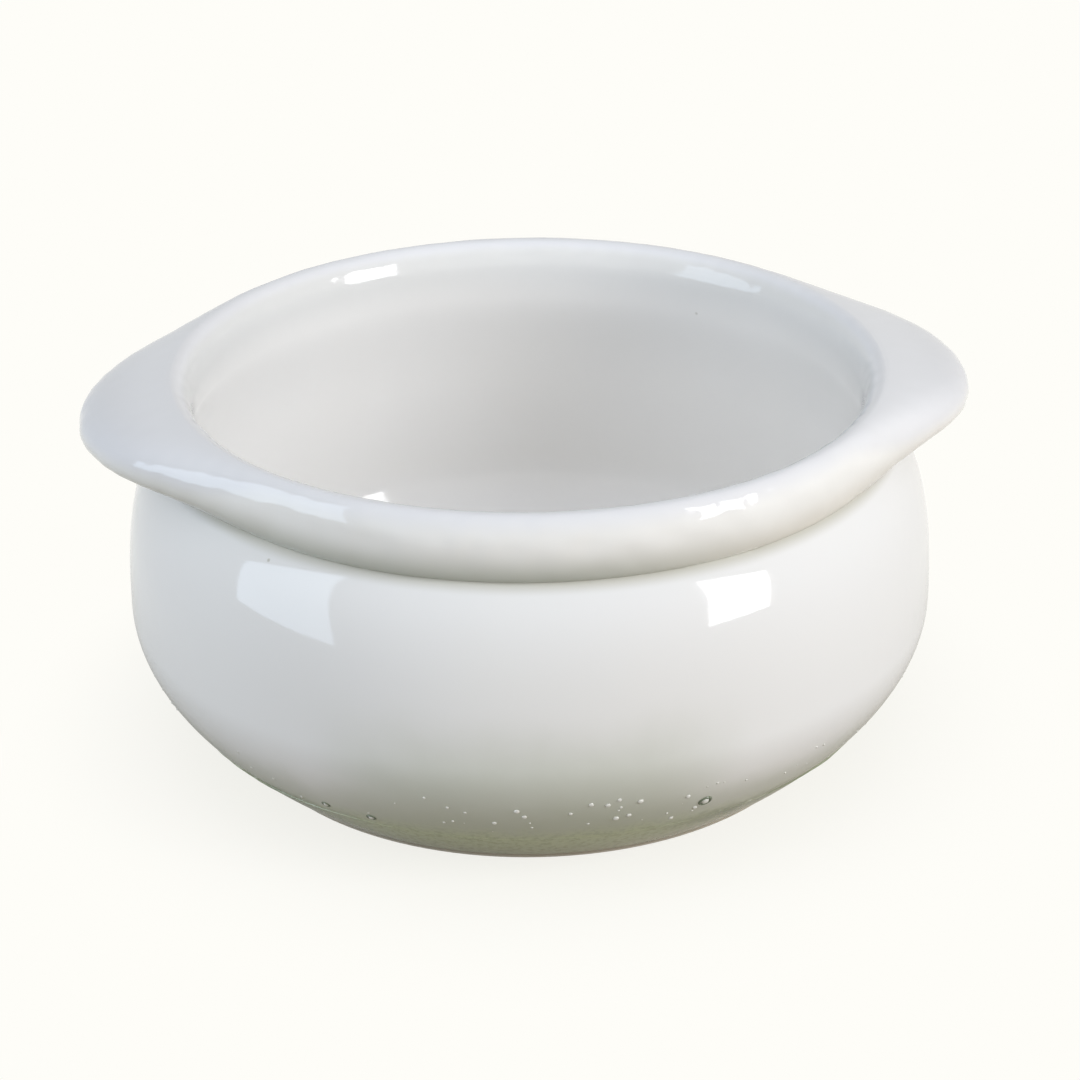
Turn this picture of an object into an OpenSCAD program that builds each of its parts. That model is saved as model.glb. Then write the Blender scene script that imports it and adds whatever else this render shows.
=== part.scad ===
// French onion soup crock: a round-bellied stoneware bowl with a thick rolled rim and two lugs.
// Millimetres. The origin is the middle of the foot on the table, +Z is up and the lugs lie along X.
// Sizes are taken over the glaze, because the glaze is what a rule or a caliper touches.

/* [Body] */
// Height from the table to the top of the rim
crock_h = 60; // [54:0.5:72]
// Widest diameter of the belly
belly_d = 124; // [118:0.5:136]
// Height of the belly's widest line above the table
belly_z = 24; // [20:0.5:30]
// Thickness of the wall at the belly
belly_wall = 4.6; // [3.8:0.1:6]
// Thickness of the wall at the neck
neck_wall = 3.6; // [3:0.1:4.6]

/* [Well] */
// Diameter of the flat floor inside
floor_d = 68; // [54:1:76]
// Height of the floor inside above the table
floor_z = 7.2; // [6.2:0.1:9]

/* [Rim] */
// Diameter of the mouth at its narrowest line, inside the lip
mouth_d = 102; // [94:0.2:106]
// Width of the lip's round, from the mouth's narrowest line out to the rim's crown
lip_w = 3.2; // [2:0.1:4.4]
// Height of the lip's round, from the mouth's narrowest line up to the rim's crown
lip_h = 5.2; // [3.5:0.1:7]
// How far the throat under the lip stands back from the mouth's narrowest line
throat_back = 0.6; // [0.2:0.1:1.2]
// Width of the rim roll from the mouth's narrowest line out to the roll's widest line
roll_w = 5.8; // [5:0.1:8]
// Height of the rim roll from the groove under it to its top
roll_h = 10; // [8:0.1:12]
// Height of the roll's widest line above the groove
roll_swell = 5.5; // [4:0.1:6.5]

/* [Lugs] */
// How far each lug stands out from the rim roll
lug_len = 11.2; // [8:0.2:16]
// Radius of a lug's tip, seen from above
lug_tip_r = 30; // [18:1:36]
// Height of a lug's outer edge above the groove
lug_rise = 4.2; // [3:0.1:6]

/* [Foot] */
// Diameter of the foot where the glaze stops
foot_d = 93.6; // [86:0.2:98]
// Height of the unglazed foot ring
foot_h = 1.4; // [1:0.1:2]
// Width of the flat land that the crock stands on
foot_land = 3.2; // [2:0.1:4]
// How far the foot ring draws in below the glaze line
foot_taper = 0.8; // [0.3:0.1:1.5]
// Depth of the hollow under the floor, from the table
hollow_z = 2.6; // [2.1:0.1:3.5]

/* [Glaze] */
// Thickness of the fired glaze coat
glaze_t = 0.35; // [0.2:0.05:0.5]

/* [Hidden] */
$fn = 120;

// Small rounds on the foot ring's two bottom edges
foot_ease = 0.4;
// How far the side of the hollow leans in under the floor
hollow_lean = 0.6;

// Radii and heights that follow from the sizes above
belly_r = belly_d / 2;
foot_r = foot_d / 2;
floor_r = floor_d / 2;
mouth_r = mouth_d / 2;
throat_r = mouth_r + throat_back;
neck_r = throat_r + neck_wall;
roll_r = mouth_r + roll_w;
lug_reach = roll_r + lug_len;
well_r = belly_r - belly_wall;
neck_z = crock_h - roll_h;
swell_z = neck_z + roll_swell;
lug_edge_z = neck_z + lug_rise;
crown_r = mouth_r + lip_w;
mouth_z = crock_h - lip_h;
foot_clay_r = foot_r - glaze_t;
land_out_r = foot_clay_r - foot_taper - foot_ease;
land_in_r = land_out_r - foot_land;
hollow_r = land_in_r - foot_ease - hollow_lean / 2;

// Pull points of each curve, as shares of the way across and the way up from its start to its end
belly_low_shares = [[0, 0], [0.51, 0.28], [1, 0.62], [1, 1]];
belly_high_shares = [[0, 0], [0, 0.26], [-0.02, 0.79], [1, 1]];
well_high_shares = [[0, 0], [0.18, 0.2], [1, 0.55], [1, 1]];
well_low_shares = [[0, 0], [0, 0.7], [0.3, 1], [1, 1]];
throat_shares = [[0, 0], [0, 0.4], [0.45, 0.66], [1, 1]];
roll_under_shares = [[0, 0], [0.45, 0], [1, 0.45], [1, 1]];
lug_under_shares = [[0, 0], [0.62, 0.35], [1, 0.4], [1, 1]];
roll_top_shares = [[0, 0], [0, 0.55], [0.45, 1], [1, 1]];
lug_top_shares = [[0, 0], [0, 0.55], [0.28, 0.72], [1, 1]];

// Straight steps along each curve
body_steps = 12;
under_steps = 5;
top_steps = 7;
lip_steps = 5;
throat_steps = 2;
ease_steps = 3;
// Place of the rim's crown, counted along the rim's outline
crown_i = under_steps + top_steps;
// Sections of the rim on each flank of a lug, and on the plain roll from there to the quarter round
flank_steps = 11;
roll_steps = 10;

// Plan of a lug: a round tip, and two straight flanks that meet the rim roll without a corner
tip_x = lug_reach - lug_tip_r;
flank_turn = acos((roll_r - lug_tip_r) / tip_x);
tip_turn = atan2(lug_tip_r * sin(flank_turn), tip_x + lug_tip_r * cos(flank_turn));

// Turn between two sections on a lug, and between two on the plain roll
flank_step = flank_turn / flank_steps;
roll_step = (90 - flank_turn) / roll_steps;
// Turns of the sections from a lug's middle line to the quarter round, to the half and all the way round
quarter_turns = concat([for (k = [0:flank_steps]) k * flank_step],
                       [for (k = [1:roll_steps]) flank_turn + k * roll_step]);
half_turns = concat(quarter_turns, [for (k = [len(quarter_turns) - 2:-1:1]) 180 - quarter_turns[k]]);
full_turns = concat(half_turns, [for (t = half_turns) 180 + t]);
// Lifts a faceted face off the round one beneath it, so that the two only touch
facet_lift = 1 / cos(max(flank_step, roll_step) / 2);
// The clay of a lug stops one section before its flank's end, where it would be thinner than paper
lug_steps = flank_steps - 1;

function bezier(p, t) =
    pow(1 - t, 3) * p[0] + 3 * pow(1 - t, 2) * t * p[1] + 3 * (1 - t) * t * t * p[2] + pow(t, 3) * p[3];

// A curve from point a to point b, pulled by its shares
function curve(a, b, shares, steps) =
    let (p = [for (s = shares) [a.x + s.x * (b.x - a.x), a.y + s.y * (b.y - a.y)]])
    [for (i = [0:steps]) bezier(p, i / steps)];

function arc(c, r, from, to, steps) =
    [for (i = [0:steps]) let (a = from + (to - from) * i / steps) c + r * [cos(a), sin(a)]];

// A quarter round from the top of its middle line to its left side, with its own width and height
function quarter(c, w, h, steps) =
    [for (i = [0:steps]) let (a = 90 + 90 * i / steps) [c.x + w * cos(a), c.y + h * sin(a)]];

// All points but the first, for joining two curves end to end
function rest_of(p) = [for (i = [1:len(p) - 1]) p[i]];

function backwards(p) = [for (i = [len(p) - 1:-1:0]) p[i]];

function left_of(a, b) = let (d = b - a) [-d.y, d.x] / norm(d);

// The clay outline under a glaze outline. Outlines run up the outside, over the rim and down the inside,
// so the clay lies on their left. The two end points take the moves given for them.
function under_glaze(p, first, last) =
    [for (i = [0:len(p) - 1])
        i == 0 ? p[0] + first : i == len(p) - 1 ? p[i] + last : p[i] + glaze_t * left_of(p[i - 1], p[i + 1])];

out_move = [-glaze_t, 0];
in_move = [glaze_t, 0];
down_move = [0, -glaze_t];

function body_outline() =
    let (foot = [foot_r, foot_h], belly = [belly_r, belly_z], neck = [neck_r, neck_z])
    concat(curve(foot, belly, belly_low_shares, body_steps),
           rest_of(curve(belly, neck, belly_high_shares, body_steps)));

function well_outline() =
    let (throat = [throat_r, neck_z], belly = [well_r, belly_z], floor = [floor_r, floor_z])
    concat(curve(throat, belly, well_high_shares, body_steps),
           rest_of(curve(belly, floor, well_low_shares, body_steps)),
           [[0, floor_z]]);

// Section of the rim where its outermost radius is r. The share is 0 on the plain roll and 1 at a lug's tip.
function rim_outline(r, share) =
    let (under = roll_under_shares + share * (lug_under_shares - roll_under_shares),
         top = roll_top_shares + share * (lug_top_shares - roll_top_shares),
         widest = [r, swell_z + share * (lug_edge_z - swell_z)],
         crown = [crown_r, crock_h])
    concat(curve([neck_r, neck_z], widest, under, under_steps),
           rest_of(curve(widest, crown, top, top_steps)),
           rest_of(quarter([crown_r, mouth_z], lip_w, lip_h, lip_steps)),
           rest_of(curve([mouth_r, mouth_z], [throat_r, neck_z], throat_shares, throat_steps)));

// Turn from the nearest lug's middle line, from 0 to 90
function lug_turn(a) = abs(a - 180 * round(a / 180));

// Outermost radius of the rim in the direction a
function reach(a) =
    let (t = lug_turn(a))
    t < tip_turn ? tip_x * cos(t) + sqrt(pow(lug_tip_r, 2) - pow(tip_x * sin(t), 2))
    : t < flank_turn ? roll_r / cos(flank_turn - t) : roll_r;

function rim_glaze_at(a) = rim_outline(reach(a), (reach(a) - roll_r) / lug_len);

function rim_clay_at(a) = under_glaze(rim_glaze_at(a), out_move, in_move);

function roll_clay() = under_glaze(rim_outline(roll_r, 0), out_move, in_move);

// Section of a lug's clay: its own outline out from the groove to the crown, and the roll's back again
function lug_section(a) =
    let (lug = rim_clay_at(a), roll = roll_clay())
    concat([roll[0]], [for (i = [1:crown_i - 1]) lug[i]], [for (i = [crown_i:-1:1]) roll[i]]);

// Turns an outline of radius and height into points in the direction a
function placed(p, a, lift) = [for (q = p) [q.x * lift * cos(a), q.x * lift * sin(a), q.y]];

// Side faces of a solid made of rings with n points each, from ring k to ring next
function side_faces(k, next, n) =
    [for (i = [0:n - 1]) let (j = (i + 1) % n)
        each [[k * n + i, k * n + j, next * n + j], [k * n + i, next * n + j, next * n + i]]];

// End face of a lug: a strip of triangles between its own outline and the roll's
function end_faces(k, n) =
    [for (i = [0:crown_i - 1]) let (a = k * n + i, b = k * n + i + 1,
                                    c = k * n + (n - i - 1) % n, d = k * n + (n - i) % n)
        each concat(i == crown_i - 1 ? [] : [[a, b, c]], i == 0 ? [] : [[a, c, d]])];

function flipped(faces) = [for (f = faces) [f[2], f[1], f[0]]];

module turned(p) {
    rotate_extrude()
        polygon(p);
}

module glaze_coat(p, clay) {
    turned(concat(p, backwards(clay)));
}

module lug(middle) {
    turns = [for (k = [-lug_steps:lug_steps]) middle + k * flank_step];
    n = 2 * crown_i;
    last = len(turns) - 1;
    points = [for (a = turns) each placed(lug_section(a), a, facet_lift)];
    sides = [for (k = [0:last - 1]) each side_faces(k, k + 1, n)];
    polyhedron(points, concat(sides, flipped(end_faces(0, n)), end_faces(last, n)));
}

module bowl() {
    color([0.90, 0.88, 0.83])
        turned(concat(under_glaze(body_outline(), out_move, out_move),
                      under_glaze(well_outline(), in_move, down_move),
                      [[0, hollow_z], [hollow_r - hollow_lean, hollow_z], [hollow_r, foot_h]]));
}

module foot_ring() {
    color([0.80, 0.76, 0.69])
        turned(concat([[foot_clay_r, foot_h], [hollow_r, foot_h]],
                      arc([land_in_r, foot_ease], foot_ease, 180, 270, ease_steps),
                      arc([land_out_r, foot_ease], foot_ease, 270, 360, ease_steps)));
}

module rim_roll() {
    color([0.90, 0.88, 0.83])
        turned(roll_clay());
}

module left_lug() {
    color([0.88, 0.86, 0.82])
        lug(180);
}

module right_lug() {
    color([0.88, 0.86, 0.82])
        lug(0);
}

module inside_glaze() {
    color([0.89, 0.89, 0.87])
        glaze_coat(well_outline(), under_glaze(well_outline(), in_move, down_move));
}

module outside_glaze() {
    color([0.93, 0.94, 0.94])
        glaze_coat(body_outline(), under_glaze(body_outline(), out_move, out_move));
}

module rim_glaze() {
    n = 2 * len(rim_glaze_at(0));
    points = [for (a = full_turns)
        each concat(placed(rim_glaze_at(a), a, 1), placed(backwards(rim_clay_at(a)), a, facet_lift))];
    count = len(full_turns);
    color([0.84, 0.86, 0.91])
        polyhedron(points, [for (k = [0:count - 1]) each side_faces(k, (k + 1) % count, n)]);
}

bowl();
foot_ring();
rim_roll();
left_lug();
right_lug();
inside_glaze();
outside_glaze();
rim_glaze();
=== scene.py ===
import math

import bpy
import numpy as np
from mathutils import Matrix, Vector


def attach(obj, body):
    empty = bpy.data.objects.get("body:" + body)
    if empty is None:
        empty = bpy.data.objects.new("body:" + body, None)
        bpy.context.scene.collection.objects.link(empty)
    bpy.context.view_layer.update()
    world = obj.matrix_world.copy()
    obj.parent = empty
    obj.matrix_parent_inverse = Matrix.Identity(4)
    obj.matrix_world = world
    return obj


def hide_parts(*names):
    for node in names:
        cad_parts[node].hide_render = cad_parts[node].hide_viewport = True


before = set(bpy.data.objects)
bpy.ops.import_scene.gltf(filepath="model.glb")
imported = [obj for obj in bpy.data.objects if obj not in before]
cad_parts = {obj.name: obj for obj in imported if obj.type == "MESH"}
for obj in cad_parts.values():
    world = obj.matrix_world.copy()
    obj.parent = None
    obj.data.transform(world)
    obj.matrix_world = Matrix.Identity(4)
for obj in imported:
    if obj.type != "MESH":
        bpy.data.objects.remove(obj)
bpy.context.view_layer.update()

scene = bpy.context.scene
mm = 0.001
sharpTurn = math.radians(38)  # an edge that turns further than this shows as a crease
touching = 1e-7  # closer than this, in metres, is the same place

# The crock's sizes in millimetres, over the glaze, the same as in the part's source
crock = {
    "height": 60.0, "bellyRadius": 62.0, "bellyHeight": 24.0,
    "footRadius": 46.8, "footHeight": 1.4,
    "neckRadius": 55.2, "neckHeight": 50.0,
    "throatRadius": 51.6, "mouthRadius": 51.0, "mouthHeight": 54.8, "crownRadius": 54.2,
    "wellRadius": 57.4, "floorRadius": 34.0, "floorHeight": 7.2,
    "rollRadius": 56.8, "rollSwell": 55.5,
    "lugReach": 68.0, "lugTipRadius": 30.0, "lugEdge": 54.2,
    "glaze": 0.35,
}

# Pull points of each curve, as shares of the way across and the way up
pulls = {
    "bellyLow": [(0, 0), (0.51, 0.28), (1, 0.62), (1, 1)],
    "bellyHigh": [(0, 0), (0, 0.26), (-0.02, 0.79), (1, 1)],
    "wellHigh": [(0, 0), (0.18, 0.2), (1, 0.55), (1, 1)],
    "wellLow": [(0, 0), (0, 0.7), (0.3, 1), (1, 1)],
    "throat": [(0, 0), (0, 0.4), (0.45, 0.66), (1, 1)],
    "rollUnder": [(0, 0), (0.45, 0), (1, 0.45), (1, 1)],
    "lugUnder": [(0, 0), (0.62, 0.35), (1, 0.4), (1, 1)],
    "rollTop": [(0, 0), (0, 0.55), (0.45, 1), (1, 1)],
    "lugTop": [(0, 0), (0, 0.55), (0.28, 0.72), (1, 1)],
}


# Points on a curve from start to end. Start, end and shares may hold one row for each turn.
def curve(start, end, shares, steps):
    start, end = np.asarray(start, float), np.asarray(end, float)
    shares = np.asarray(shares, float)
    p = [start + shares[..., i, :] * (end - start) for i in range(4)]
    t = np.linspace(0, 1, steps + 1)
    w = [(1 - t) ** 3, 3 * (1 - t) ** 2 * t, 3 * (1 - t) * t * t, t ** 3]
    return sum(w[i][:, None] * p[i][..., None, :] for i in range(4))


def joined(*lines):
    return np.concatenate([lines[0]] + [line[..., 1:, :] for line in lines[1:]], axis=-2)


# The clay's side of a glaze outline, one glaze thickness in, with its two ends moved as told
def underGlaze(p, first, last):
    d = p[..., 2:, :] - p[..., :-2, :]
    left = np.stack([-d[..., 1], d[..., 0]], -1) / np.linalg.norm(d, axis=-1, keepdims=True)
    middle = p[..., 1:-1, :] + crock["glaze"] * left
    return np.concatenate([p[..., :1, :] + first, middle, p[..., -1:, :] + last], axis=-2)


# Rows of points in metres: one row for each point of the outline, once round the crock
def placed(outline, turns):
    outline = np.broadcast_to(outline, (len(turns),) + outline.shape[-2:])
    x = outline[..., 0] * np.cos(turns)[:, None]
    y = outline[..., 0] * np.sin(turns)[:, None]
    return np.stack([x, y, outline[..., 1]], -1).transpose(1, 0, 2) * mm


leanWaves = 24  # waves that add up to one lean
waveSpread = (0.7, 1.5)  # the shortest and the longest of them, as shares of the wave asked for


# A smooth random lean of a hand-finished surface, the same each run
def handLean(points, size, wave, seed):
    rng = np.random.default_rng(seed)
    total = np.zeros(points.shape[:-1])
    for _ in range(leanWaves):
        d = rng.normal(size=3)
        d = d / np.linalg.norm(d) * 2 * math.pi / (wave * rng.uniform(*waveSpread))
        total += np.cos(points @ d + rng.uniform(0, 2 * math.pi))
    return total * size / math.sqrt(leanWaves / 2)


# A closed coat of glaze. Its rows go up the outside of the coat and come back on the clay's side.
def coatMesh(name, rows):
    points, index = [], []
    for row in rows:
        pole = np.hypot(row[:, 0], row[:, 1]).max() < touching
        first = len(points)
        points.extend(row[:1].tolist() if pole else row.tolist())
        index.append([first] * len(row) if pole else list(range(first, first + len(row))))
    faces = []
    for i, a in enumerate(index):
        b = index[(i + 1) % len(index)]
        if a[0] == a[1] and b[0] == b[1]:
            continue
        for j in range(len(a)):
            k = (j + 1) % len(a)
            faces.append(list(dict.fromkeys([a[j], a[k], b[k], b[j]])))
    mesh = bpy.data.meshes.new(name)
    mesh.from_pydata(points, [], faces)
    mesh.shade_smooth()
    mesh.set_sharp_from_angle(angle=sharpTurn)
    mesh.validate()
    piece = bpy.data.objects.new(name, mesh)
    scene.collection.objects.link(piece)
    return piece


def finishPiece(piece, material, replaced=()):
    piece.data.materials.clear()
    piece.data.materials.append(material)
    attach(piece, "root")
    if replaced:
        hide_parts(*replaced)
    return piece


# A Geometry Nodes tree whose sizes are named inputs
class TreeBoard:
    def __init__(self, name):
        self.tree = bpy.data.node_groups.new(name, "GeometryNodeTree")
        self.tree.interface.new_socket("Geometry", in_out="INPUT", socket_type="NodeSocketGeometry")
        self.tree.interface.new_socket("Geometry", in_out="OUTPUT", socket_type="NodeSocketGeometry")
        self.entry = self.tree.nodes.new("NodeGroupInput")
        self.values = {}

    def given(self, name, value):
        kind = {int: "NodeSocketInt", float: "NodeSocketFloat"}.get(type(value), "NodeSocketMaterial")
        socket = self.tree.interface.new_socket(name, in_out="INPUT", socket_type=kind)
        self.values[socket.identifier] = value
        return self.entry.outputs[name]

    def add(self, kind, sockets, **settings):
        n = self.tree.nodes.new(kind)
        for key, value in settings.items():
            setattr(n, key, value)
        for key, value in sockets.items():
            if isinstance(value, bpy.types.NodeSocket):
                self.tree.links.new(value, n.inputs[key])
            else:
                n.inputs[key].default_value = value
        return n

    def math(self, kind, a, b):
        return self.add("ShaderNodeMath", {0: a, 1: b}, operation=kind).outputs[0]

    def vector(self, kind, sockets):
        return self.add("ShaderNodeVectorMath", sockets, operation=kind).outputs[0]

    def combined(self, x, y, z):
        return self.add("ShaderNodeCombineXYZ", {"X": x, "Y": y, "Z": z}).outputs[0]

    def noise(self, place, seed, scale, detail):
        sockets = {"Vector": place, "W": seed, "Scale": scale, "Detail": detail}
        return self.add("ShaderNodeTexNoise", sockets, noise_dimensions="4D").outputs["Fac"]

    def ramp(self, value, low, high, start=0.0, end=1.0):
        sockets = {"Value": value, "From Min": low, "From Max": high, "To Min": start, "To Max": end}
        return self.add("ShaderNodeMapRange", sockets).outputs["Result"]

    def circle(self, steps, radius):
        sockets = {"Resolution": steps, "Radius": radius}
        return self.add("GeometryNodeCurvePrimitiveCircle", sockets).outputs["Curve"]


# Runs a tree on a base mesh and keeps the result as a plain mesh
def grown(name, base, board, geometry, material, replaced=()):
    real = board.add("GeometryNodeRealizeInstances", {"Geometry": geometry})
    last = board.add("GeometryNodeSetMaterial",
                     {"Geometry": real.outputs[0], "Material": board.given("Material", material)})
    board.tree.links.new(last.outputs[0], board.tree.nodes.new("NodeGroupOutput").inputs[0])
    piece = bpy.data.objects.new(name, base)
    scene.collection.objects.link(piece)
    modifier = piece.modifiers.new("grow", "NODES")
    modifier.node_group = board.tree
    for identifier, value in board.values.items():
        modifier[identifier] = value
    made = piece.evaluated_get(bpy.context.evaluated_depsgraph_get())
    mesh = bpy.data.meshes.new_from_object(made)
    piece.modifiers.remove(modifier)
    piece.data = mesh
    mesh.name = name
    mesh.shade_smooth()
    mesh.set_sharp_from_angle(angle=sharpTurn)
    return finishPiece(piece, material, replaced)


class NodeBoard:
    def __init__(self, name):
        self.material = bpy.data.materials.new(name)
        self.material.use_nodes = True
        self.nodes = self.material.node_tree.nodes
        self.links = self.material.node_tree.links
        self.shader = self.nodes["Principled BSDF"]
        self.place = self.nodes.new("ShaderNodeTexCoord").outputs["Object"]

    def join(self, a, b):
        self.links.new(a, b)

    def noise(self, scale, detail=2.0, roughness=0.5):
        n = self.nodes.new("ShaderNodeTexNoise")
        n.inputs["Scale"].default_value = scale
        n.inputs["Detail"].default_value = detail
        n.inputs["Roughness"].default_value = roughness
        self.join(self.place, n.inputs["Vector"])
        return n.outputs["Fac"]

    def spots(self, scale):
        n = self.nodes.new("ShaderNodeTexVoronoi")
        n.inputs["Scale"].default_value = scale
        self.join(self.place, n.inputs["Vector"])
        return n.outputs["Distance"], n.outputs["Color"]

    def along(self, axis):
        n = self.nodes.new("ShaderNodeSeparateXYZ")
        self.join(self.place, n.inputs[0])
        return n.outputs[axis]

    # Distance from the crock's middle line
    def away(self):
        flat = self.nodes.new("ShaderNodeVectorMath")
        flat.operation = "MULTIPLY"
        flat.inputs[1].default_value = (1, 1, 0)
        self.join(self.place, flat.inputs[0])
        n = self.nodes.new("ShaderNodeVectorMath")
        n.operation = "LENGTH"
        self.join(flat.outputs["Vector"], n.inputs[0])
        return n.outputs["Value"]

    def band(self, value, low, high, start=0.0, end=1.0):
        n = self.nodes.new("ShaderNodeMapRange")
        n.interpolation_type = "SMOOTHSTEP"
        for key, v in (("From Min", low), ("From Max", high), ("To Min", start), ("To Max", end)):
            n.inputs[key].default_value = v
        self.join(value, n.inputs["Value"])
        return n.outputs["Result"]

    def math(self, kind, a, b):
        n = self.nodes.new("ShaderNodeMath")
        n.operation = kind
        for i, v in enumerate((a, b)):
            if isinstance(v, (int, float)):
                n.inputs[i].default_value = v
            else:
                self.join(v, n.inputs[i])
        return n.outputs[0]

    # The value with some random wandering on it
    def wandered(self, value, look):
        size, scale, detail, roughness = look
        noise = self.math("SUBTRACT", self.noise(scale, detail, roughness), 0.5)
        return self.math("ADD", value, self.math("MULTIPLY", noise, size * mm))

    # Cosine of the turn about the crock's middle line between a point and a direction in degrees
    def facing(self, degrees):
        x = self.math("MULTIPLY", self.along("X"), math.cos(math.radians(degrees)))
        y = self.math("MULTIPLY", self.along("Y"), math.sin(math.radians(degrees)))
        return self.math("DIVIDE", self.math("ADD", x, y), self.away())

    # 1 up to the first turn from that direction, and the aside value from the second one on
    def ahead(self, facing, degrees, aside=0.0):
        near, far = (math.cos(math.radians(a)) for a in degrees)
        return self.band(facing, far, near, aside, 1.0)

    # Distance of a value from a middle one
    def apart(self, value, middle):
        return self.math("ABSOLUTE", self.math("SUBTRACT", value, middle), 0.0)

    def mix(self, share, a, b, kind="RGBA"):
        n = self.nodes.new("ShaderNodeMix")
        n.data_type = kind
        for socket, v in ((n.inputs["Factor"], share), (n.inputs["A"], a), (n.inputs["B"], b)):
            if isinstance(v, (int, float)):
                socket.default_value = v
            elif isinstance(v, tuple):
                socket.default_value = (*v, 1.0)
            else:
                self.join(v, socket)
        return n.outputs["Result"]

    def bump(self, heightSocket, distance, under=None):
        n = self.nodes.new("ShaderNodeBump")
        n.inputs["Strength"].default_value = 1.0
        n.inputs["Distance"].default_value = distance
        self.join(heightSocket, n.inputs["Height"])
        if under is not None:
            self.join(under, n.inputs["Normal"])
        return n.outputs["Normal"]


# What all the glazes share. Here and below colours are linear values and sizes are millimetres. A noise
# is given by its waves in a metre, its detail and its roughness, and most of its values lie between
# least and most. A pit's middle and edge are shares of its cell.
glazeLook = {
    "rough": 0.07, "roughSpread": (0.8, 1.25), "roughNoise": (60.0, 3), "least": 0.3, "most": 0.7,
    "ripple": 0.05, "rippleWave": 7.0, "rippleNoise": (1.0, 0.4), "peel": 0.003, "peelWave": 0.9,
    "bending": 1.52, "pitMiddle": 0.03, "pitEdge": 0.11,
}


# share and stretch make the ripple lower and longer
def glazeSurface(board, share, stretch, plainRough=glazeLook["rough"]):
    look = glazeLook
    smoothest, roughest = (plainRough * part for part in look["roughSpread"])
    cloud = board.noise(*look["roughNoise"])
    rough = board.band(cloud, look["least"], look["most"], smoothest, roughest)
    board.join(rough, board.shader.inputs["Roughness"])
    longWave = board.noise(1 / (look["rippleWave"] * stretch * mm), *look["rippleNoise"])
    wave = board.bump(longWave, look["ripple"] * share * mm)
    peel = board.bump(board.noise(1 / (look["peelWave"] * mm)), look["peel"] * mm, wave)
    board.join(peel, board.shader.inputs["Normal"])
    board.shader.inputs["IOR"].default_value = look["bending"]


# Tiny dark pits, where a speck burnt out of the glaze. cells is their number in a metre, and chance is
# the share of them that has a pit.
def pitted(board, colour, cells, chance, dark):
    distance, cell = board.spots(cells)
    pick = board.nodes.new("ShaderNodeSeparateColor")
    board.join(cell, pick.inputs[0])
    few = board.math("LESS_THAN", pick.outputs[0], chance)
    near = board.band(distance, glazeLook["pitMiddle"], glazeLook["pitEdge"], 1.0, 0.0)
    return board.mix(board.math("MULTIPLY", few, near), colour, dark)


# The belly from the bottom up: bare edge, olive foot with darker pools at its sides, a grey-green
# painted shade on the lower belly that reaches higher in front, plain glaze, and painted shade in the
# groove under the rim. Turns are degrees.
bellyLook = {
    "plain": (0.80, 0.80, 0.79), "cool": (0.78, 0.785, 0.80), "cloudScale": 28.0,
    "lowShade": (0.405, 0.445, 0.335), "lowShadeFrom": 12.0, "lowShadeTo": 19.0, "lowShadeShare": 0.38,
    "wander": (6.0, 90.0, 3.0, 0.5),  # its size, then its noise
    "frontTurn": -98.0, "frontShadeWide": (14.0, 32.0),
    "frontShadeFrom": 18.0, "frontShadeTo": 34.0, "frontShadeShare": 0.55,
    "foot": (0.535, 0.595, 0.375), "footFrom": 7.5, "footTo": 12.9,
    "footWide": (12.0, 40.0), "footAside": 0.6,
    "ragged": (3.0, 260.0, 4.0, 0.6),
    "mottle": (0.33, 0.375, 0.215), "mottleNoise": (1100.0, 3, 0.6), "mottleBand": (0.42, 0.68),
    "mottleShare": 0.7,
    "pool": (0.20, 0.228, 0.13), "poolHeight": 7.8, "poolHalf": 3.3, "poolMiddle": -10.0,
    "poolInner": 18.0, "poolOuter": 34.0, "poolNoise": (420.0, 3, 0.6), "poolBand": (0.22, 0.52),
    "groove": (0.52, 0.51, 0.44), "grooveFrom": 48.4, "grooveShare": 0.8,
    "pits": (260.0, 0.02, (0.52, 0.51, 0.46)), "rippleShare": 0.25, "rippleStretch": 2.0,
}


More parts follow.
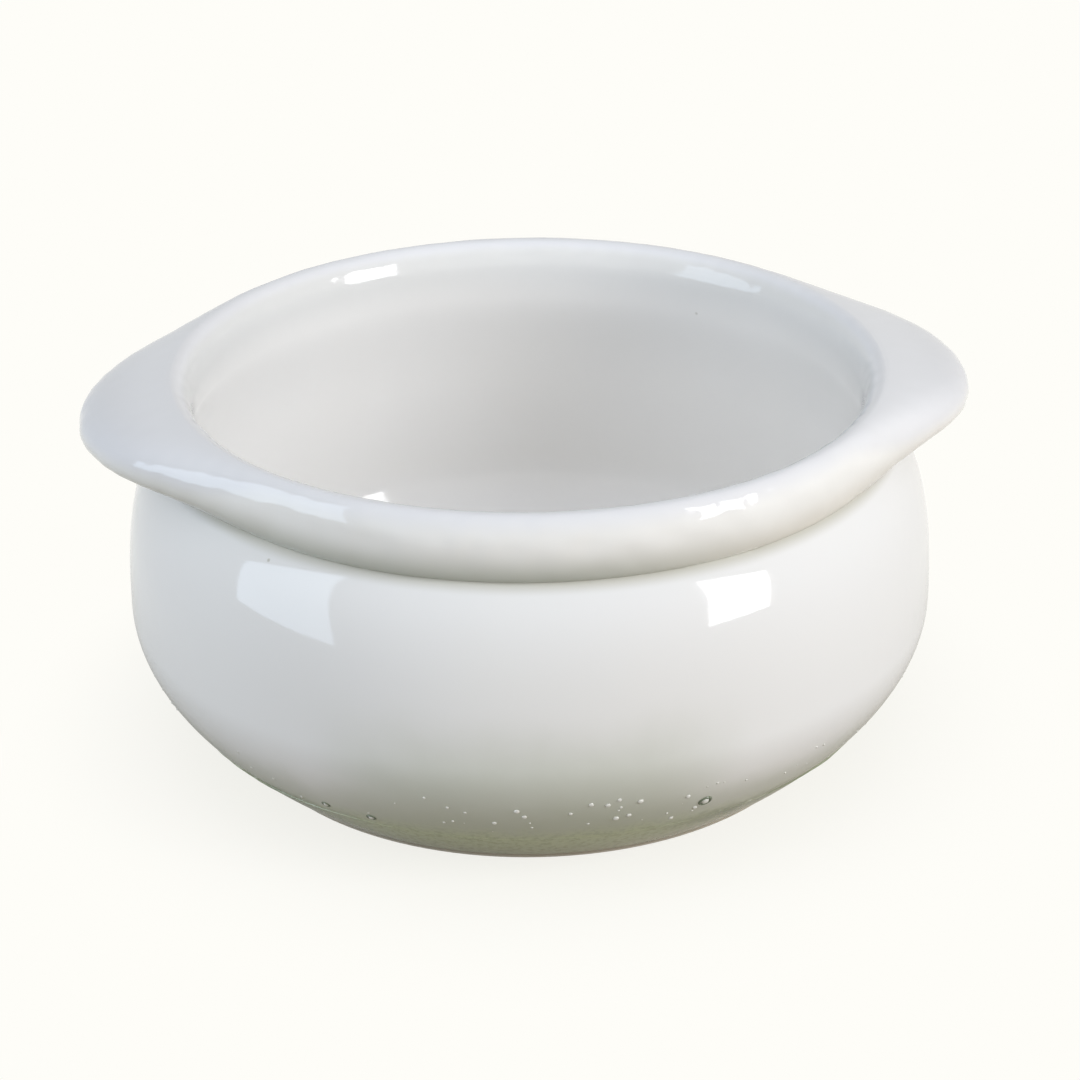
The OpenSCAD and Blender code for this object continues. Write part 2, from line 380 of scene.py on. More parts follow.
def bellyGlazeMaterial():
    look = bellyLook
    b = NodeBoard("bellyGlaze")
    z = b.along("Z")
    colour = b.mix(b.noise(look["cloudScale"]), look["plain"], look["cool"])
    wander = b.wandered(z, look["wander"])
    # Painted shade: the lower belly is darkened toward a grey-green.
    low = b.band(wander, look["lowShadeFrom"] * mm, look["lowShadeTo"] * mm, look["lowShadeShare"], 0.0)
    colour = b.mix(low, colour, look["lowShade"])
    facing = b.facing(look["frontTurn"])
    # More painted shade on the front of the lower belly, reaching higher.
    below = b.band(wander, look["frontShadeFrom"] * mm, look["frontShadeTo"] * mm, look["frontShadeShare"], 0.0)
    frontShade = b.math("MULTIPLY", below, b.ahead(facing, look["frontShadeWide"]))
    colour = b.mix(frontShade, colour, look["lowShade"])
    ragged = b.wandered(z, look["ragged"])
    mottle = b.band(b.noise(*look["mottleNoise"]), *look["mottleBand"], 0.0, look["mottleShare"])
    olive = b.mix(mottle, look["foot"], look["mottle"])
    atFoot = b.band(ragged, look["footFrom"] * mm, look["footTo"] * mm, 1.0, 0.0)
    atFoot = b.math("MULTIPLY", atFoot, b.ahead(facing, look["footWide"], look["footAside"]))
    colour = b.mix(atFoot, colour, olive)
    gathered = b.band(b.apart(ragged, look["poolHeight"] * mm), 0.0, look["poolHalf"] * mm, 1.0, 0.0)
    aside = b.apart(b.along("X"), look["poolMiddle"] * mm)
    aside = b.band(aside, look["poolInner"] * mm, look["poolOuter"] * mm)
    gathered = b.math("MULTIPLY", gathered, aside)
    broken = b.band(b.noise(*look["poolNoise"]), *look["poolBand"])
    colour = b.mix(b.math("MULTIPLY", gathered, broken), colour, look["pool"])
    # Painted shade in the groove under the rim.
    grooveShading = b.band(z, look["grooveFrom"] * mm, crock["neckHeight"] * mm, 0.0, look["grooveShare"])
    colour = b.mix(grooveShading, colour, look["groove"])
    b.join(pitted(b, colour, *look["pits"]), b.shader.inputs["Base Color"])
    glazeSurface(b, look["rippleShare"], look["rippleStretch"])
    return b.material


# The well's floor is painted lighter and cooler, a painted light, and its upper wall painted darker, a
# painted shade.
wellLook = {
    "plain": (0.93, 0.915, 0.885), "cool": (0.92, 0.91, 0.895), "cloudScale": 30.0,
    "floor": (0.965, 0.965, 0.98), "floorFrom": 8.0, "floorTo": 20.0,
    "shadedUpper": (0.72, 0.72, 0.71), "upperFrom": 32.0, "upperShadeShare": 0.45,
    "pits": (230.0, 0.006, (0.62, 0.60, 0.55)), "rippleShare": 0.6, "rippleStretch": 1.5,
}


def wellGlazeMaterial():
    look = wellLook
    b = NodeBoard("wellGlaze")
    z = b.along("Z")
    colour = b.mix(b.noise(look["cloudScale"]), look["plain"], look["cool"])
    # Painted light: the well's floor is lighter and cooler than its wall.
    floorLight = b.band(z, look["floorFrom"] * mm, look["floorTo"] * mm, 1.0, 0.0)
    colour = b.mix(floorLight, colour, look["floor"])
    # Painted shade: the upper wall under the rim is darker.
    shadedUpper = b.band(z, look["upperFrom"] * mm, crock["neckHeight"] * mm, 0.0, look["upperShadeShare"])
    colour = b.mix(shadedUpper, colour, look["shadedUpper"])
    b.join(pitted(b, colour, *look["pits"]), b.shader.inputs["Base Color"])
    glazeSurface(b, look["rippleShare"], look["rippleStretch"])
    return b.material


# The rim's top is painted darker and cooler than its side, a painted shade with a painted cool
# reflection, most at the lugs' tips. Its underside has painted shade, dark at the left and in front,
# with a painted tan bounce light at the right. The tops of the lugs lie lower, by up to lugDrop from
# lugFrom to lugTo.
rimLook = {
    "plain": (0.77, 0.775, 0.80), "tip": (0.69, 0.695, 0.725), "tipFrom": 57.0, "tipTo": 67.0,
    "side": (0.875, 0.875, 0.865), "sideShade": 0.97, "cloudScale": 35.0,
    "topFrom": 57.0, "topTo": 59.8, "lugFrom": 40.0, "lugTo": 54.0, "lugDrop": 3.5,
    "under": (0.40, 0.42, 0.36), "underTo": 56.0, "underShadeShare": 0.85,
    "tan": (0.68, 0.64, 0.57), "tanFrom": -5.0, "tanTo": 40.0, "insideFrom": 51.7, "insideTo": 52.9,
    "pits": (240.0, 0.008, (0.55, 0.54, 0.50)), "rippleShare": 0.6, "rippleStretch": 1.5,
}


def rimGlazeMaterial():
    look = rimLook
    b = NodeBoard("rimGlaze")
    z, neckHeight = b.along("Z"), crock["neckHeight"] * mm
    across = b.math("ABSOLUTE", b.along("X"), 0.0)
    onLug = b.band(across, look["lugFrom"] * mm, look["lugTo"] * mm, 0.0, look["lugDrop"] * mm)
    top = b.band(b.math("ADD", z, onLug), look["topFrom"] * mm, look["topTo"] * mm)
    # Painted shade and painted cool reflection: the top is darker and bluer than the side, and darker
    # still toward the lugs' tips.
    tipShade = b.band(b.away(), look["tipFrom"] * mm, look["tipTo"] * mm)
    shadedUpper = b.mix(tipShade, look["plain"], look["tip"])
    shaded = tuple(look["sideShade"] * c for c in look["side"])
    side = b.mix(b.noise(look["cloudScale"]), look["side"], shaded)
    colour = b.mix(top, side, shadedUpper)
    # Painted shade under the rim, dark at the left and in front, with a painted tan bounce light at the
    # right.
    under = b.band(z, neckHeight, look["underTo"] * mm, look["underShadeShare"], 0.0)
    atRight = b.band(b.along("X"), look["tanFrom"] * mm, look["tanTo"] * mm)
    colour = b.mix(under, colour, b.mix(atRight, look["under"], look["tan"]))
    deep = b.mix(b.noise(wellLook["cloudScale"]), wellLook["plain"], wellLook["cool"])
    # Painted shade: the inside of the mouth takes the well's colour, darker toward the top.
    mouthShade = b.band(z, neckHeight, look["underTo"] * mm, wellLook["upperShadeShare"], 1.0)
    wall = b.mix(mouthShade, deep, wellLook["shadedUpper"])
    inside = b.band(b.away(), look["insideFrom"] * mm, look["insideTo"] * mm, 1.0, 0.0)
    colour = b.mix(inside, colour, wall)
    b.join(pitted(b, colour, *look["pits"]), b.shader.inputs["Base Color"])
    glazeSurface(b, look["rippleShare"], look["rippleStretch"])
    return b.material


# Glazes of one colour, clouded with a lighter or darker one
plainGlazes = {
    "pinholeGlaze": {"plain": (0.10, 0.125, 0.08), "cloudShare": 1.6, "rough": 0.07},
    "edgeGlaze": {"plain": (0.30, 0.32, 0.26), "cloudShare": 1.5, "rough": 0.07},
    "beadGlaze": {"plain": (0.74, 0.74, 0.70), "cloudShare": 0.9, "rough": 0.20},
}
plainCloud, plainRipple = (220.0, 3), 0.5


def plainGlazeMaterial(name, look):
    b = NodeBoard(name)
    cloud = tuple(look["cloudShare"] * c for c in look["plain"])
    b.join(b.mix(b.noise(*plainCloud), look["plain"], cloud), b.shader.inputs["Base Color"])
    glazeSurface(b, plainRipple, 1.0, look["rough"])
    return b.material


clayLooks = {
    "stoneware": {"clay": (0.72, 0.68, 0.60), "rough": 0.55},
    "bareFoot": {"clay": (0.60, 0.55, 0.46), "rough": 0.8},
}
clayGrain = {"shade": 0.86, "shadeNoise": (140.0, 4, 0.6), "pits": (900.0, 0.10, (0.45, 0.40, 0.33)),
             "roughNoise": (400.0, 3), "roughSpread": (0.9, 1.1),
             "grain": 0.03, "grainNoise": (2600.0, 4, 0.6)}


def clayMaterial(name, look):
    b = NodeBoard(name)
    shaded = tuple(clayGrain["shade"] * c for c in look["clay"])
    colour = b.mix(b.noise(*clayGrain["shadeNoise"]), look["clay"], shaded)
    b.join(pitted(b, colour, *clayGrain["pits"]), b.shader.inputs["Base Color"])
    smoothest, roughest = (look["rough"] * part for part in clayGrain["roughSpread"])
    cloud = b.noise(*clayGrain["roughNoise"])
    rough = b.band(cloud, glazeLook["least"], glazeLook["most"], smoothest, roughest)
    b.join(rough, b.shader.inputs["Roughness"])
    grain = b.bump(b.noise(*clayGrain["grainNoise"]), clayGrain["grain"] * mm)
    b.join(grain, b.shader.inputs["Normal"])
    return b.material


bellyGlaze, wellGlaze, rimGlaze = bellyGlazeMaterial(), wellGlazeMaterial(), rimGlazeMaterial()
stoneware, bareFoot = (clayMaterial(name, look) for name, look in clayLooks.items())
pinholeGlaze, edgeGlaze, beadGlaze = (
    plainGlazeMaterial(name, look) for name, look in plainGlazes.items())
print("materials: 8")

# Where the clay's side of a coat ends, from where its open side ends
underOuter, underInner, underFloor = (-crock["glaze"], 0), (crock["glaze"], 0), (0, -crock["glaze"])
neck = (crock["neckRadius"], crock["neckHeight"])
throat = (crock["throatRadius"], crock["neckHeight"])
belly = (crock["bellyRadius"], crock["bellyHeight"])
foot = (crock["footRadius"], crock["footHeight"])
well = (crock["wellRadius"], crock["bellyHeight"])
floorEdge = (crock["floorRadius"], crock["floorHeight"])


# Moves the open side of a coat a little in and out, most where it stands upright. The window's shares
# along the coat say where the lean has grown full, where it starts to fall and where it has ended.
def leaned(line, turns, look):
    line = np.broadcast_to(line, (len(turns),) + line.shape[-2:])
    rows = placed(line, turns)
    full, fall, end = look["window"]
    window = np.interp(np.linspace(0, 1, len(rows)), [0, full, fall, end], [0, 1, 1, 0])
    move = sum(handLean(rows, size, wave * mm, look["seed"] + i)
               for i, (size, wave) in enumerate(look["leans"]))
    d = np.gradient(line, axis=-2)
    outward = np.stack([d[..., 1], -d[..., 0]], -1) / np.linalg.norm(d, axis=-1, keepdims=True)
    return placed(line + outward * np.abs(outward[..., :1]) * (move.T * window)[..., None], turns)


def coat(name, line, first, last, turns, look, material, replaced):
    front = leaned(line, turns, look)
    back = placed(underGlaze(line, first, last), turns)
    piece = coatMesh(name, np.concatenate([front, back[::-1]]))
    return finishPiece(piece, material, replaced)


# turns, low and high are steps round the crock and along the lower and the upper curve. The noise
# strays from its middle by about a quarter, so leanGain makes lean the size of the move.
bellyCoat = {"turns": 288, "low": 56, "high": 40, "lean": 0.03, "leanWave": 30.0, "leanGain": 4.0,
             "detail": 1.0, "fade": 3.0, "seed": 3}


# The belly's coat is its section, turned about the crock's middle line by Geometry Nodes. Its lean
# fades to nothing at both ends.
def turnedCoat(name, line, first, last, look, material, replaced):
    section = np.concatenate([line, underGlaze(line, first, last)[::-1]])
    middle = float(section[:, 0].mean())
    base = bpy.data.meshes.new(name)
    base.from_pydata([((r - middle) * mm, -z * mm, 0) for r, z in section],
                     [(i, (i + 1) % len(section)) for i in range(len(section))], [])
    t = TreeBoard(name + "Turned")
    lean = t.given("Lean", look["lean"] * mm)
    wave = t.given("Lean Wave", look["leanWave"] * mm)
    path = t.circle(t.given("Turns", look["turns"]), t.given("Middle Radius", middle * mm))
    upright = t.add("GeometryNodeSetCurveNormal", {"Curve": path}, mode="Z_UP")
    profile = t.add("GeometryNodeMeshToCurve", {"Mesh": t.entry.outputs["Geometry"]})
    solid = t.add("GeometryNodeCurveToMesh",
                  {"Curve": upright.outputs[0], "Profile Curve": profile.outputs[0]})
    solid = t.add("GeometryNodeFlipFaces", {"Mesh": solid.outputs[0]})
    place = t.add("GeometryNodeInputPosition", {}).outputs[0]
    seed = t.given("Seed", float(look["seed"]))
    noise = t.noise(place, seed, t.math("DIVIDE", 1.0, wave), look["detail"])
    outward = t.vector("NORMALIZE", {0: t.vector("MULTIPLY", {0: place, 1: (1, 1, 0)})})
    gain = t.math("MULTIPLY", lean, look["leanGain"])
    size = t.math("MULTIPLY", t.math("SUBTRACT", noise, 0.5), gain)
    height = t.add("ShaderNodeSeparateXYZ", {0: place}).outputs["Z"]
    for edge, fade in ((line[0, 1], look["fade"]), (line[-1, 1], -look["fade"])):
        size = t.math("MULTIPLY", size, t.ramp(height, edge * mm, (edge + fade) * mm))
    move = t.vector("SCALE", {0: outward, "Scale": size})
    moved = t.add("GeometryNodeSetPosition", {"Geometry": solid.outputs[0], "Offset": move})
    return grown(name, base, t, moved.outputs[0], material, replaced)


bellyLine = joined(curve(foot, belly, pulls["bellyLow"], bellyCoat["low"]),
                   curve(belly, neck, pulls["bellyHigh"], bellyCoat["high"]))
turnedCoat("belly_glaze", bellyLine, underOuter, underOuter, bellyCoat, bellyGlaze,
           ["outside_glaze"])

# leans are the size and the wave of each
wellCoat = {"turns": 288, "high": 36, "low": 44, "floor": 10, "window": (0.12, 0.88, 1.0),
            "leans": [(0.05, 34.0)], "seed": 7}
floorLine = np.stack([np.linspace(crock["floorRadius"], 0, wellCoat["floor"] + 1),
                      np.full(wellCoat["floor"] + 1, crock["floorHeight"])], -1)
wellLine = joined(curve(throat, well, pulls["wellHigh"], wellCoat["high"]),
                  curve(well, floorEdge, pulls["wellLow"], wellCoat["low"]), floorLine)
wellTurns = np.linspace(0, 2 * math.pi, wellCoat["turns"], endpoint=False)
coat("well_glaze", wellLine, underInner, underFloor, wellTurns, wellCoat, wellGlaze,
     ["inside_glaze"])

# Two wandering rolls of glaze: one where it gathers over the foot, one where it stops at the clay.
# They are thin up to thinWithin to the left and right of the middle, and full from fullFrom.
rollLooks = {
    "glaze_pool": {"ringRadius": 54.6, "height": 8.6, "thick": 0.22, "wander": 1.4, "wave": 9.0,
                   "thinWithin": 26.0, "fullFrom": 44.0, "thinShare": 0.05, "seed": 5.0},
    "glaze_edge": {"ringRadius": 46.75, "height": 1.75, "thick": 0.24, "wander": 0.2, "wave": 6.0,
                   "thinWithin": 0.0, "fullFrom": 1.0, "thinShare": 1.0, "seed": 8.0},
}
# Both wander and bulge by a noise. bulges are the least and the most share of the thickness.
rollShape = {"steps": 720, "sides": 10, "wanderDetail": 3.0, "bulgeDetail": 4.0, "bulgeSeed": 9.0,
             "bulges": (0.3, 1.6)}


def growRoll(name, look, material):
    t = TreeBoard(name + "Roll")
    wave = t.math("DIVIDE", 1.0, t.given("Wave", look["wave"] * mm))
    seed = t.given("Seed", look["seed"])
    wander = t.given("Wander", look["wander"] * mm)
    path = t.circle(t.given("Steps", rollShape["steps"]),
                    t.given("Ring Radius", look["ringRadius"] * mm))
    place = t.add("GeometryNodeInputPosition", {}).outputs[0]
    noise = t.noise(place, seed, wave, rollShape["wanderDetail"])
    rise = t.math("MULTIPLY", t.math("SUBTRACT", noise, 0.5), wander)
    across = t.vector("SCALE", {0: t.vector("NORMALIZE", {0: place}), "Scale": rise})
    up = t.math("ADD", rise, t.given("Height", look["height"] * mm))
    shift = t.vector("ADD", {0: across, 1: t.combined(0.0, 0.0, up)})
    line = t.add("GeometryNodeSetPosition", {"Geometry": path, "Offset": shift}).outputs[0]
    side = t.math("ABSOLUTE", t.add("ShaderNodeSeparateXYZ", {0: place}).outputs["X"], 0.0)
    thin = t.ramp(side, t.given("Thin Within", look["thinWithin"] * mm),
                  t.given("Full From", look["fullFrom"] * mm), t.given("Thin Share", look["thinShare"]))
    bulge = t.noise(place, t.math("ADD", seed, rollShape["bulgeSeed"]), wave, rollShape["bulgeDetail"])
    share = t.ramp(bulge, glazeLook["least"], glazeLook["most"], *rollShape["bulges"])
    edge = t.circle(t.given("Sides", rollShape["sides"]), t.given("Thickness", look["thick"] * mm))
    roll = t.add("GeometryNodeCurveToMesh",
                 {"Curve": line, "Profile Curve": edge, "Scale": t.math("MULTIPLY", share, thin)})
    return grown(name, bpy.data.meshes.new(name), t, roll.outputs[0], material)


growRoll("glaze_pool", rollLooks["glaze_pool"], bellyGlaze)
growRoll("glaze_edge", rollLooks["glaze_edge"], edgeGlaze)

# Small beads in the glaze over the foot, scattered on a band of the belly
beadLook = {"low": 10.5, "high": 18.5, "around": 96, "perArea": 30000.0, "least": 0.10, "most": 0.26,
            "flat": 0.7, "roundings": 2, "seed": 4}


def growBeads(look, material):
    rows = [p for p in bellyLine if look["low"] <= p[1] <= look["high"]]
    around = look["around"]
    turns = np.linspace(0, 2 * math.pi, around, endpoint=False)
    points = [(r * math.cos(a) * mm, r * math.sin(a) * mm, z * mm) for r, z in rows for a in turns]
    faces = []
    for i in range(len(rows) - 1):
        for j in range(around):
            a, b = i * around + j, i * around + (j + 1) % around
            faces.append((a, b, b + around, a + around))
    base = bpy.data.meshes.new("beadBand")
    base.from_pydata(points, [], faces)
    t = TreeBoard("glazeBeads")
    seed = t.given("Seed", look["seed"])
    spread = t.add("GeometryNodeDistributePointsOnFaces",
                   {"Mesh": t.entry.outputs["Geometry"], "Seed": seed,
                    "Density": t.given("Per Area", look["perArea"])})
    size = t.add("FunctionNodeRandomValue",
                 {2: t.given("Least", look["least"] * mm), 3: t.given("Most", look["most"] * mm),
                  "Seed": seed}).outputs[1]
    flat = t.math("MULTIPLY", size, t.given("Flat", look["flat"]))
    bead = t.add("GeometryNodeMeshIcoSphere", {"Radius": 1.0, "Subdivisions": look["roundings"]})
    beads = t.add("GeometryNodeInstanceOnPoints",
                  {"Points": spread.outputs["Points"], "Rotation": spread.outputs["Rotation"],
                   "Instance": bead.outputs["Mesh"], "Scale": t.combined(size, size, flat)})
    return grown("glaze_beads", base, t, beads.outputs[0], material)


growBeads(beadLook, beadGlaze)

# Single spots of glaze: turn in degrees, height on the wall and size in millimetres. The first five are
# bubbles with a dark ring, and the cluster's are plain beads.
spotPlaces = [(-72.8, 13.8, 0.62), (-129.5, 10.9, 0.42), (-122.0, 10.6, 0.45), (38.0, 12.0, 0.5),
              (121.0, 13.0, 0.4)]
clusterPlaces = [(-99.8, 16.6, 0.43), (-98.8, 15.0, 0.38), (-103.0, 13.5, 0.35), (-89.8, 17.3, 0.38),
                 (-87.5, 16.7, 0.40), (-86.0, 17.6, 0.35), (-83.0, 16.8, 0.43), (-92.5, 15.6, 0.30),
                 (-86.0, 13.5, 0.47), (-77.2, 11.0, 0.38), (-84.2, 13.8, 0.38), (-76.0, 16.2, 0.38),
                 (-74.0, 12.5, 0.38)]
# wide is the spot's radius as a share of its size, and flat its height as a share of that radius.
# hole is the thickness of a ring; where it is 0 the spot is a low bead.
spotLooks = {
    "glaze_bubbles": {"flat": 0.6, "wide": 1.0, "hole": 0.0},
    "glaze_pinholes": {"flat": 1.0, "wide": 1.45, "hole": 0.22},
}
spotShape = {"ringSteps": 20, "ringSides": 8, "roundings": 3}


def growSpots(name, places, material):
    look = spotLooks[name]
    slopes = np.gradient(bellyLine, axis=0)
    points, facing, sizes = [], [], []
    for turn, z, size in places:
        i = int(np.abs(bellyLine[:, 1] - z).argmin())
        across = np.array([math.cos(math.radians(turn)), math.sin(math.radians(turn))])
        normal = np.array([slopes[i, 1], -slopes[i, 0]]) / np.linalg.norm(slopes[i])
        points.append((*(bellyLine[i, 0] * across * mm), bellyLine[i, 1] * mm))
        facing.append((*(normal[0] * across), normal[1]))
        sizes.append(size * mm)
    base = bpy.data.meshes.new(name)
    base.from_pydata(points, [], [])
    for field, kind, key, values in (("facing", "FLOAT_VECTOR", "vector", np.ravel(facing)),
                                     ("size", "FLOAT", "value", sizes)):
        base.attributes.new(field, kind, "POINT").data.foreach_set(key, values)
    t = TreeBoard(name + "Spots")
    named = "GeometryNodeInputNamedAttribute"
    normal = t.add(named, {"Name": "facing"}, data_type="FLOAT_VECTOR").outputs[0]
    size = t.add(named, {"Name": "size"}, data_type="FLOAT").outputs[0]
    turned = t.add("FunctionNodeAlignRotationToVector", {"Vector": normal}, axis="Z").outputs[0]
    wide = t.math("MULTIPLY", size, t.given("Wide", look["wide"]))
    flat = t.math("MULTIPLY", wide, t.given("Flat", look["flat"]))
    if look["hole"]:
        ring = t.circle(spotShape["ringSteps"], 1.0)
        tube = t.circle(spotShape["ringSides"], t.given("Ring", look["hole"]))
        shape = t.add("GeometryNodeCurveToMesh", {"Curve": ring, "Profile Curve": tube})
    else:
        shape = t.add("GeometryNodeMeshIcoSphere",
                      {"Radius": 1.0, "Subdivisions": spotShape["roundings"]})
    spots = t.add("GeometryNodeInstanceOnPoints",
                  {"Points": t.entry.outputs["Geometry"], "Instance": shape.outputs[0],
                   "Rotation": turned, "Scale": t.combined(wide, wide, flat)})
    return grown(name, base, t, spots.outputs[0], material)


growSpots("glaze_bubbles", spotPlaces + clusterPlaces, beadGlaze)
growSpots("glaze_pinholes", spotPlaces, pinholeGlaze)
print("glaze rolls, beads and spots: 5")

rimCoat = {"turns": 504, "under": 18, "top": 30, "lip": 22, "throat": 12, "window": (0.12, 0.69, 0.80),
           "leans": [(0.04, 24.0), (0.045, 9.0), (0.034, 3.8)], "seed": 11}


# Outermost radius of the rim in each direction: two lugs with round tips and straight flanks
def reach(turns):
    roll, bend = crock["rollRadius"], crock["lugTipRadius"]
    tipX = crock["lugReach"] - bend
    flank = math.acos((roll - bend) / tipX)
    tip = math.atan2(bend * math.sin(flank), tipX + bend * math.cos(flank))
    t = np.abs(turns - math.pi * np.round(turns / math.pi))
    bow = tipX * np.cos(t) + np.sqrt(np.maximum(bend ** 2 - (tipX * np.sin(t)) ** 2, 0))
    straight = roll / np.cos(np.clip(flank - t, 0, flank))
    return np.where(t < tip, bow, np.where(t < flank, straight, roll))


# The rim's outline in each direction, from the neck out and up over the crown and down to the throat
def rimOutline(turns):
    r = reach(turns)
    share = (r - crock["rollRadius"]) / (crock["lugReach"] - crock["rollRadius"])
    wide = lambda line: np.broadcast_to(line, (len(turns),) + np.shape(line)[-2:])
    point = lambda p: np.broadcast_to(p, (len(turns), 2))

    def mixed(onRoll, onLug):
        a, b = np.array(pulls[onRoll]), np.array(pulls[onLug])
        return a + share[:, None, None] * (b - a)

    widest = np.stack([r, crock["rollSwell"] + share * (crock["lugEdge"] - crock["rollSwell"])], -1)
    a = np.radians(np.linspace(90, 180, rimCoat["lip"] + 1))
    lipWide = crock["crownRadius"] - crock["mouthRadius"]
    lipHigh = crock["height"] - crock["mouthHeight"]
    lip = np.stack([crock["crownRadius"] + lipWide * np.cos(a),
                    crock["mouthHeight"] + lipHigh * np.sin(a)], -1)
    return joined(curve(point(neck), widest, mixed("rollUnder", "lugUnder"), rimCoat["under"]),
                  curve(widest, point(lip[0]), mixed("rollTop", "lugTop"), rimCoat["top"]),
                  wide(lip), wide(curve(lip[-1], throat, pulls["throat"], rimCoat["throat"])))


rimTurns = np.linspace(0, 2 * math.pi, rimCoat["turns"], endpoint=False)
coat("rim_glaze_coat", rimOutline(rimTurns), underOuter, underInner, rimTurns, rimCoat, rimGlaze,
     ["rim_glaze"])
print("glaze coats: 3")

# The clay keeps the frame's own meshes and only gets its looks
for node, material in (("bowl", stoneware), ("rim_roll", stoneware), ("left_lug", stoneware),
                       ("right_lug", stoneware), ("foot_ring", bareFoot)):
    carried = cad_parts[node]
    carried.data.materials.clear()
    carried.data.materials.append(material)
print("clay: 5 nodes of the frame")

# The camera is fitted to the photograph's outline. Its turns are degrees and its clip is in metres.
cameraLook = {"turn": 7.8637, "rise": 25.5785, "roll": -0.5531, "distance": 500.0,
              "across": 1.6281, "up": -1.7627, "aim": 32.0,
              "lens": 107.09, "sensor": 36.0, "clip": (0.01, 50.0)}


def placeCamera():
    c = cameraLook
    rise, roll = math.radians(c["rise"]), math.radians(c["roll"])
    back = Vector((0, -math.cos(rise), math.sin(rise)))
    right, up = Vector((1, 0, 0)), Vector((0, math.sin(rise), math.cos(rise)))
    place = Vector((0, 0, c["aim"])) + right * c["across"] + up * c["up"] + back * c["distance"]
    x = right * math.cos(roll) + up * math.sin(roll)
    y = -right * math.sin(roll) + up * math.cos(roll)
    turned = Matrix((x, y, back)).transposed().to_4x4()
    turned.translation = place * mm
    data = bpy.data.cameras.new("camera")
    data.sensor_width, data.lens = c["sensor"], c["lens"]
    data.clip_start, data.clip_end = c["clip"]
    camera = bpy.data.objects.new("camera", data)
    scene.collection.objects.link(camera)
    camera.matrix_world = Matrix.Rotation(math.radians(-c["turn"]), 4, "Z") @ turned
    scene.camera = camera


# The lamps stand where the photograph's bright patches point. wide and tall are the directions of
# their sides, and glow is the brightness of the face, where 1 is white.
lampLook = {
    "left": {"centre": (-966, -86, 283), "wide": (0.869, -0.456, 0.191), "tall": (-0.107, 0.203, 0.973),
             "size": (815, 792), "colour": (0.68, 0.82, 0.99), "glow": 2.9},
    "right": {"centre": (767, -529, 403), "wide": (0.998, 0.031, 0.059), "tall": (-0.066, 0.356, 0.932),
              "size": (516, 559), "colour": (0.99, 0.99, 1.0), "glow": 9.8},
}


def placeLamp(name, look):
    wide = Vector(look["wide"]).normalized()
    behind = wide.cross(Vector(look["tall"])).normalized()
    tall = behind.cross(wide)
    turned = Matrix((wide, tall, behind)).transposed().to_4x4()
    turned.translation = Vector(look["centre"]) * mm
    data = bpy.data.lights.new(name, "AREA")
    data.shape = "RECTANGLE"
    data.size, data.size_y = look["size"][0] * mm, look["size"][1] * mm
    data.color = look["colour"]
    data.energy = look["glow"] * data.size * data.size_y * math.pi
    lamp = bpy.data.objects.new(name, data)
    scene.collection.objects.link(lamp)
    lamp.matrix_world = turned


# The room's light is fill strong, and brighter in front and on the left by the two leans. The bounce is
# what the floor gives back to the glaze.
# Each shadow is near strong up to from and gone at to. mirrorTint is how far the floor that the glaze
# mirrors takes on the bounce's colour there, a painted shade on the floor near the crock.
surround = {"ivory": (0.991, 0.982, 0.939), "fill": 0.53, "leanAcross": -0.14, "leanDeep": -0.40,
            "fillColour": (0.98, 0.99, 1.0), "bounce": (0.27, 0.21, 0.12), "mirrorTint": 0.4,
            "seenShadow": {"near": 0.20, "from": 46.0, "to": 84.0},
            "mirrorShadow": {"near": 0.95, "from": 50.0, "to": 120.0}}
floorPaper = {"radius": 4000.0, "sides": 64, "rough": 0.9}


# 1 for what the camera sees directly, mirrored or through something, and 0 for light that spreads
def seenRays(nodes, links):
    path = nodes.new("ShaderNodeLightPath")
    total = path.outputs["Is Camera Ray"]
    for name in ("Is Glossy Ray", "Is Transmission Ray"):
        plus = nodes.new("ShaderNodeMath")
        plus.operation, plus.use_clamp = "ADD", True
        links.new(total, plus.inputs[0])
        links.new(path.outputs[name], plus.inputs[1])
        total = plus.outputs[0]
    return total


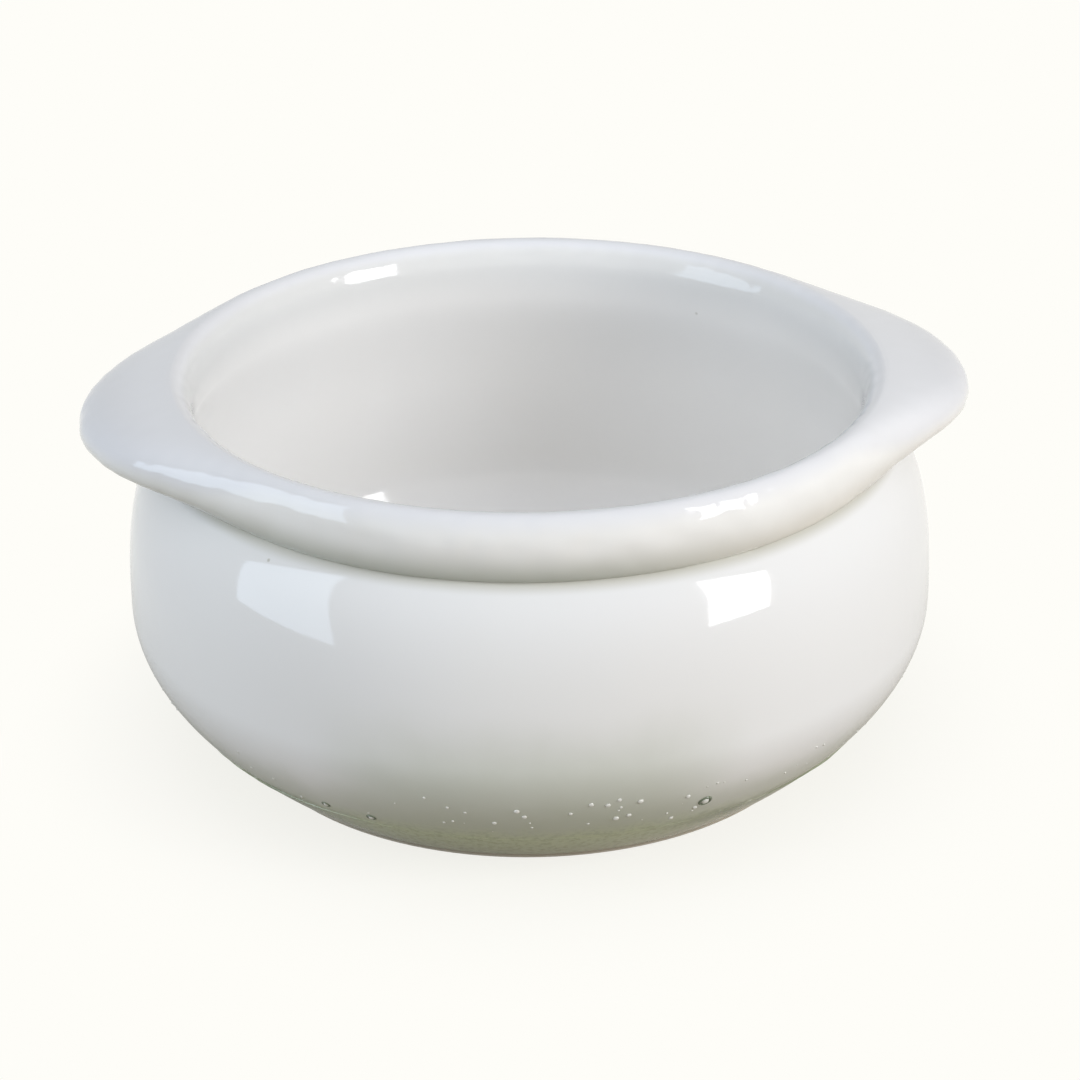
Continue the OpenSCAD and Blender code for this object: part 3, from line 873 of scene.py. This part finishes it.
def placeWorld():
    world = bpy.data.worlds.new("room")
    scene.world = world
    world.use_nodes = True
    nodes, links = world.node_tree.nodes, world.node_tree.links
    fill = nodes["Background"]
    fill.inputs["Color"].default_value = (*surround["fillColour"], 1)
    lean = nodes.new("ShaderNodeVectorMath")
    lean.operation = "DOT_PRODUCT"
    lean.inputs[1].default_value = (surround["leanAcross"], surround["leanDeep"], 0)
    plus = nodes.new("ShaderNodeMath")
    plus.inputs[1].default_value = surround["fill"]
    links.new(nodes.new("ShaderNodeTexCoord").outputs["Generated"], lean.inputs[0])
    links.new(lean.outputs["Value"], plus.inputs[0])
    links.new(plus.outputs[0], fill.inputs["Strength"])
    seen = nodes.new("ShaderNodeBackground")
    seen.inputs["Color"].default_value = (*surround["ivory"], 1)
    seen.inputs["Strength"].default_value = 1.0
    mix = nodes.new("ShaderNodeMixShader")
    links.new(seenRays(nodes, links), mix.inputs[0])
    links.new(fill.outputs[0], mix.inputs[1])
    links.new(seen.outputs[0], mix.inputs[2])
    links.new(mix.outputs[0], nodes["World Output"].inputs["Surface"])


def placeFloor():
    turns = np.linspace(0, 2 * math.pi, floorPaper["sides"], endpoint=False)
    radius = floorPaper["radius"] * mm
    mesh = bpy.data.meshes.new("floor")
    mesh.from_pydata([(radius * math.cos(a), radius * math.sin(a), 0) for a in turns], [],
                     [list(range(len(turns)))])
    floor = bpy.data.objects.new("floor", mesh)
    scene.collection.objects.link(floor)
    b = NodeBoard("floorPaper")
    b.shader.inputs["Roughness"].default_value = floorPaper["rough"]
    b.shader.inputs["Specular IOR Level"].default_value = 0.0
    seen = seenRays(b.nodes, b.links)
    direct = b.nodes.new("ShaderNodeLightPath").outputs["Is Camera Ray"]
    mirrorFade, seenFade = (
        b.band(b.away(), look["from"] * mm, look["to"] * mm, 1 - look["near"], 1.0)
        for look in (surround["mirrorShadow"], surround["seenShadow"]))
    tint = surround["mirrorTint"]
    # Painted shade: near the crock the floor that the glaze mirrors is darkened toward the bounce
    # colour.
    darker = b.math("ADD", b.math("MULTIPLY", mirrorFade, tint), 1 - tint)
    ivoryShare = b.math("MULTIPLY", seen, b.mix(direct, darker, 1.0, "FLOAT"))
    colour = b.mix(ivoryShare, surround["bounce"], surround["ivory"])
    b.join(colour, b.shader.inputs["Base Color"])
    glow = b.nodes.new("ShaderNodeEmission")
    glow.inputs["Color"].default_value = (*surround["ivory"], 1)
    glowShare = b.math("MULTIPLY", seen, b.mix(direct, mirrorFade, seenFade, "FLOAT"))
    either = b.nodes.new("ShaderNodeMixShader")
    b.join(glowShare, either.inputs[0])
    b.join(b.shader.outputs[0], either.inputs[1])
    b.join(glow.outputs[0], either.inputs[2])
    b.join(either.outputs[0], b.nodes["Material Output"].inputs["Surface"])
    mesh.materials.append(b.material)


placeCamera()
for name, look in lampLook.items():
    placeLamp(name + "Lamp", look)
placeWorld()
placeFloor()
scene.view_settings.view_transform = "Standard"
print("camera, lamps and floor: placed")
